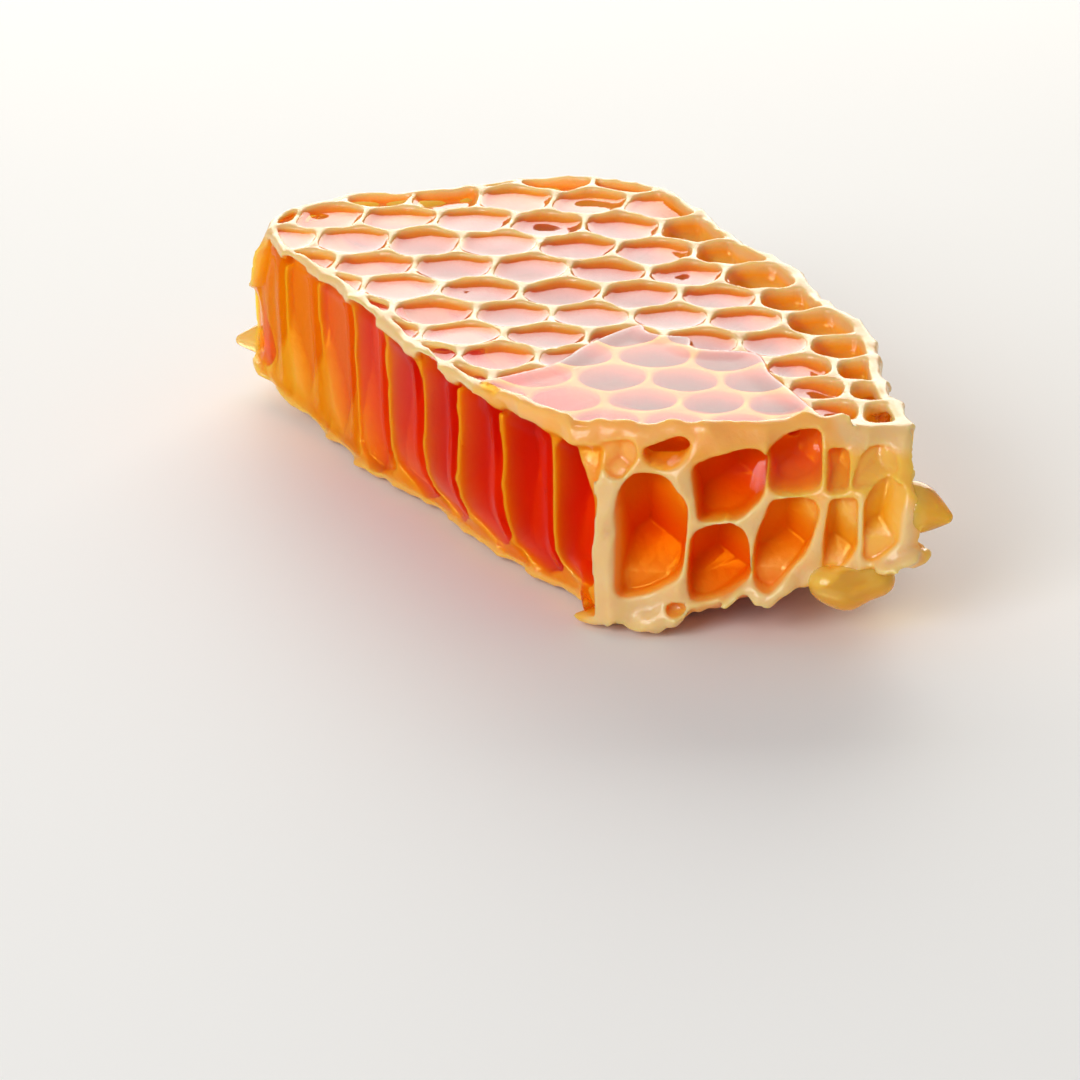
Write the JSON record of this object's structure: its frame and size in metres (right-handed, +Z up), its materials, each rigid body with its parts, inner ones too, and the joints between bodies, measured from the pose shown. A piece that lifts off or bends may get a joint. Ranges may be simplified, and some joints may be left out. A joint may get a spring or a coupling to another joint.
{
  "type": "honeycomb piece",
  "caption": "Torn-off piece of honeycomb lying flat, its open wax cells full of honey, with a honey film on top and drops at its ends.",
  "frame": {"origin": "bottom centre of the bounding box, on the surface that the piece lies on", "axes": "+Z up, the open cells of the upper layer facing up; +X along the long side, towards the end flooded with honey"},
  "size_m": [0.0804, 0.0405, 0.0176],
  "materials": {
    "wax": "soft translucent beeswax, cream yellow, wet with honey, low gloss",
    "honey": "clear amber to red honey with a mirror-like wet surface",
    "pale_honey": "thin clear golden honey with a mirror-like wet surface"
  },
  "bodies": {
    "root": {"comb": "wax", "honey_upper": "honey", "honey_lower": "honey", "honey_end_upper_1": "honey", "honey_end_upper_2": "honey", "honey_end_upper_3": "honey", "honey_end_upper_4": "honey", "honey_end_lower_1": "honey", "honey_end_lower_2": "honey", "honey_end_lower_3": "honey", "honey_end_lower_4": "honey", "honey_end_lower_5": "honey", "honey_drop_right": "pale_honey", "honey_drop_left": "pale_honey", "honey_drop_under": "pale_honey"}
  },
  "joints": []
}
